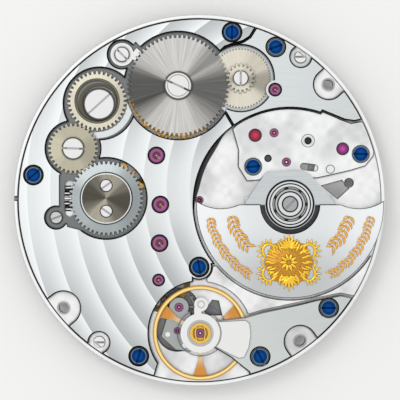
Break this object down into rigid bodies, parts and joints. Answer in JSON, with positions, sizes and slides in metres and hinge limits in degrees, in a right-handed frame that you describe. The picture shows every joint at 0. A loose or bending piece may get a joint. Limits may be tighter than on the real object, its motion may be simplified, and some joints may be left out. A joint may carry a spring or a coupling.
{
  "type": "mechanical watch movement",
  "caption": "Ultra-thin self-winding watch movement with a white-metal micro-rotor, striped bridges, blued screws, visible winding wheels and a lever escapement.",
  "frame": {"origin": "centre of the casing diameter, on the dial seat", "axes": "+Z from the dial side to the bridge side, +X towards 3 o'clock as the picture shows it (its right), +Y to the picture's top"},
  "size_m": [0.0298, 0.0298, 0.0033],
  "materials": {
    "rhodium_brass": "rhodium-plated, striped",
    "brushed_steel": "sunburst or brushed",
    "polished_steel": "polished",
    "blued_steel": "blued, polished",
    "ruby": "polished",
    "gold": "polished and grained",
    "gilt_brass": "gilt"
  },
  "bodies": {
    "movement": {"main_plate": "rhodium_brass", "barrel_train_bridge": "rhodium_brass", "automatic_bridge": "rhodium_brass", "rotor_support_bridge": "rhodium_brass", "balance_cock": "rhodium_brass", "index_plate": "polished_steel", "pallet_bridge": "rhodium_brass", "stud_carrier": "polished_steel", "shock_setting": "brushed_steel", "shock_spring": "gold", "crown_core": "brushed_steel", "winding_screws": "polished_steel", "click_spring": "brushed_steel", "setting_lever_cover": "brushed_steel", "bearing_core": "polished_steel", "bearing_balls": "polished_steel", "bridge_screws": "blued_steel", "dog_screws": "polished_steel", "bridge_jewels": "ruby", "plate_jewels": "ruby", "rotor_studs": "ruby", "press_pins": "polished_steel"},
    "barrel_drum": {"barrel": "gilt_brass", "mainspring": "brushed_steel"},
    "ratchet": {"ratchet_wheel": "brushed_steel", "barrel_arbor": "brushed_steel"},
    "crown": {"crown_wheel": "brushed_steel"},
    "small_intermediate": {"small_intermediate_wheel": "brushed_steel"},
    "rocking_arm": {"rocking_bush": "brushed_steel"},
    "rocking": {"rocking_wheel": "brushed_steel"},
    "winding": {"winding_pinion": "brushed_steel"},
    "clutch": {"sliding_clutch": "brushed_steel"},
    "lever": {"setting_lever": "brushed_steel"},
    "clutch_yoke": {"yoke": "brushed_steel"},
    "click": {"click_wheel": "brushed_steel"},
    "first": {"first_wheel": "gilt_brass"},
    "second": {"second_wheel": "gilt_brass"},
    "third": {"third_wheel": "gilt_brass"},
    "fourth": {"fourth_wheel": "gilt_brass"},
    "escape": {"escape_wheel": "brushed_steel"},
    "pallets": {"pallet_fork": "brushed_steel"},
    "balance": {"balance_wheel": "gilt_brass", "balance_staff": "brushed_steel", "hairspring": "brushed_steel"},
    "centre": {"centre_wheel": "gilt_brass", "cannon_pinion": "brushed_steel"},
    "minute": {"minute_wheel": "gilt_brass"},
    "hour": {"hour_wheel": "gilt_brass"},
    "transfer": {"transfer_wheel": "brushed_steel"},
    "setting": {"setting_wheel": "brushed_steel"},
    "auto_reduction": {"auto_reduction_wheel": "brushed_steel"},
    "auto_second": {"auto_second_wheel": "gilt_brass"},
    "auto_third": {"auto_third_wheel": "gilt_brass"},
    "reverser_arbor": {"reverser_pinion": "brushed_steel"},
    "reverser": {"reverser_wheel": "gilt_brass"},
    "rotor": {"rotor_weight": "polished_steel", "rotor_plate": "polished_steel", "rotor_pinion": "brushed_steel", "bearing_outer_ring": "polished_steel"}
  },
  "joints": [
    {"name": "crown_wheel_spin", "type": "hinge", "parent": "movement", "child": "crown", "pos_m": [-0.00746, 0.00014, 0.0018], "axis": [0, 0, 1], "continuous": true},
    {"name": "small_intermediate_spin", "type": "hinge", "parent": "movement", "child": "small_intermediate", "pos_m": [-0.01011, 0.00414, 0.0018], "axis": [0, 0, 1], "continuous": true},
    {"name": "rocking_arm_swing", "type": "hinge", "parent": "movement", "child": "rocking_arm", "pos_m": [-0.01011, 0.00414, 0.0018], "axis": [0, 0, 1], "range_deg": [-6.79, 0]},
    {"name": "rocking_wheel_spin", "type": "hinge", "parent": "rocking_arm", "child": "rocking", "pos_m": [-0.00819, 0.00795, 0.0018], "axis": [0, 0, 1], "continuous": true},
    {"name": "winding_pinion_spin", "type": "hinge", "parent": "movement", "child": "winding", "pos_m": [-0.01079, 0.00014, 0.00095], "axis": [1, 0, 0], "continuous": true},
    {"name": "setting_lever_turn", "type": "hinge", "parent": "movement", "child": "lever", "pos_m": [-0.01147, -0.00139, 0.00022], "axis": [0, 0, 1], "range_deg": [0, 7.1]},
    {"name": "yoke_turn", "type": "hinge", "parent": "movement", "child": "clutch_yoke", "pos_m": [-0.00957, -0.00347, 0.00022], "axis": [0, 0, 1], "range_deg": [-5.6, 0]},
    {"name": "clutch_slide", "type": "slide", "parent": "movement", "child": "clutch", "axis": [1, 0, 0], "range_m": [0, 0.00034]},
    {"name": "click_turn", "type": "hinge", "parent": "movement", "child": "click", "pos_m": [-0.0062, 0.01167, 0.0018], "axis": [0, 0, 1], "range_deg": [0, 12], "stiffness_Nm_per_rad": 0.000001, "springref_deg": -11.46},
    {"name": "fourth_wheel_spin", "type": "hinge", "parent": "movement", "child": "fourth", "pos_m": [-0.00326, -0.00639, 0.0011], "axis": [0, 0, 1], "continuous": true},
    {"name": "third_wheel_spin", "type": "hinge", "parent": "movement", "child": "third", "pos_m": [-0.00319, -0.00344, 0.0007], "axis": [0, 0, 1], "continuous": true},
    {"name": "second_wheel_spin", "type": "hinge", "parent": "movement", "child": "second", "pos_m": [-0.00313, -0.00035, 0.0009], "axis": [0, 0, 1], "continuous": true},
    {"name": "first_wheel_spin", "type": "hinge", "parent": "movement", "child": "first", "pos_m": [-0.00344, 0.00358, 0.0011], "axis": [0, 0, 1], "continuous": true},
    {"name": "barrel_spin", "type": "hinge", "parent": "movement", "child": "barrel_drum", "pos_m": [-0.0017, 0.00918, 0.0007], "axis": [0, 0, 1], "continuous": true},
    {"name": "escape_wheel_spin", "type": "hinge", "parent": "movement", "child": "escape", "pos_m": [-0.00164, -0.0086, 0.0007], "axis": [0, 0, 1], "continuous": true},
    {"name": "centre_wheel_spin", "type": "hinge", "parent": "movement", "child": "centre", "pos_m": [0, 0, 0.0003], "axis": [0, 0, 1], "continuous": true},
    {"name": "minute_wheel_spin", "type": "hinge", "parent": "movement", "child": "minute", "pos_m": [-0.00139, -0.00165, 0.0002], "axis": [0, 0, 1], "continuous": true},
    {"name": "hour_wheel_spin", "type": "hinge", "parent": "movement", "child": "hour", "pos_m": [0, 0, 0.0001], "axis": [0, 0, 1], "continuous": true},
    {"name": "transfer_wheel_spin", "type": "hinge", "parent": "movement", "child": "transfer", "pos_m": [-0.00496, -0.0012, 0.0002], "axis": [0, 0, 1], "continuous": true},
    {"name": "setting_wheel_spin", "type": "hinge", "parent": "movement", "child": "setting", "pos_m": [-0.0074, 0.00014, 0.0003], "axis": [0, 0, 1], "continuous": true},
    {"name": "pallet_swing", "type": "hinge", "parent": "movement", "child": "pallets", "pos_m": [-0.00178, -0.01048, 0.0008], "axis": [0, 0, 1], "range_deg": [-5.5, 5.5]},
    {"name": "balance_swing", "type": "hinge", "parent": "movement", "child": "balance", "pos_m": [0.00007, -0.01064, 0.0016], "axis": [0, 0, 1], "range_deg": [-150, 150], "stiffness_Nm_per_rad": 0.00000006, "deforming": ["hairspring"]},
    {"name": "auto_second_spin", "type": "hinge", "parent": "movement", "child": "auto_second", "pos_m": [0.00606, 0.00885, 0.0007], "axis": [0, 0, 1], "continuous": true},
    {"name": "auto_reduction_spin", "type": "hinge", "parent": "movement", "child": "auto_reduction", "pos_m": [0.00331, 0.00978, 0.0016], "axis": [0, 0, 1], "continuous": true},
    {"name": "ratchet_spin", "type": "hinge", "parent": "movement", "child": "ratchet", "pos_m": [-0.0017, 0.00918, 0.0018], "axis": [0, 0, 1], "continuous": true},
    {"name": "auto_third_spin", "type": "hinge", "parent": "movement", "child": "auto_third", "pos_m": [0.006, 0.00541, 0.0009], "axis": [0, 0, 1], "continuous": true},
    {"name": "reverser_pinion_spin", "type": "hinge", "parent": "movement", "child": "reverser_arbor", "pos_m": [0.00698, 0.00306, 0.0009], "axis": [0, 0, 1], "continuous": true},
    {"name": "rotor_spin", "type": "hinge", "parent": "movement", "child": "rotor", "pos_m": [0.00725, -0.00031, 0.002], "axis": [0, 0, 1], "continuous": true},
    {"name": "reverser_wheel_spin", "type": "hinge", "parent": "movement", "child": "reverser", "pos_m": [0.00698, 0.00306, 0.0011], "axis": [0, 0, 1], "continuous": true}
  ],
  "couplings": [
    {"joint": "small_intermediate_spin", "follows": "crown_wheel_spin", "ratio": -1.5},
    {"joint": "rocking_wheel_spin", "follows": "crown_wheel_spin", "ratio": 1.2632},
    {"joint": "winding_pinion_spin", "follows": "crown_wheel_spin", "ratio": 3.4286},
    {"joint": "setting_lever_turn", "follows": "clutch_slide", "rad_per_m": 359.33},
    {"joint": "yoke_turn", "follows": "clutch_slide", "rad_per_m": -285.93},
    {"joint": "third_wheel_spin", "follows": "fourth_wheel_spin", "ratio": -0.11111},
    {"joint": "second_wheel_spin", "follows": "fourth_wheel_spin", "ratio": 0.022222},
    {"joint": "first_wheel_spin", "follows": "fourth_wheel_spin", "ratio": -0.008},
    {"joint": "barrel_spin", "follows": "fourth_wheel_spin", "ratio": 0.0034146},
    {"joint": "escape_wheel_spin", "follows": "fourth_wheel_spin", "ratio": -8},
    {"joint": "centre_wheel_spin", "follows": "fourth_wheel_spin", "ratio": -0.014815},
    {"joint": "minute_wheel_spin", "follows": "fourth_wheel_spin", "ratio": 0.0049383},
    {"joint": "hour_wheel_spin", "follows": "fourth_wheel_spin", "ratio": -0.0012346},
    {"joint": "transfer_wheel_spin", "follows": "fourth_wheel_spin", "ratio": -0.0040404},
    {"joint": "setting_wheel_spin", "follows": "fourth_wheel_spin", "ratio": 0.0098765},
    {"joint": "auto_reduction_spin", "follows": "auto_second_spin", "ratio": -0.21667},
    {"joint": "ratchet_spin", "follows": "auto_second_spin", "ratio": 0.059091},
    {"joint": "auto_third_spin", "follows": "auto_second_spin", "ratio": -5.1429},
    {"joint": "reverser_pinion_spin", "follows": "auto_second_spin", "ratio": 13.143},
    {"joint": "reverser_wheel_spin", "follows": "rotor_spin", "ratio": -0.55556}
  ]
}
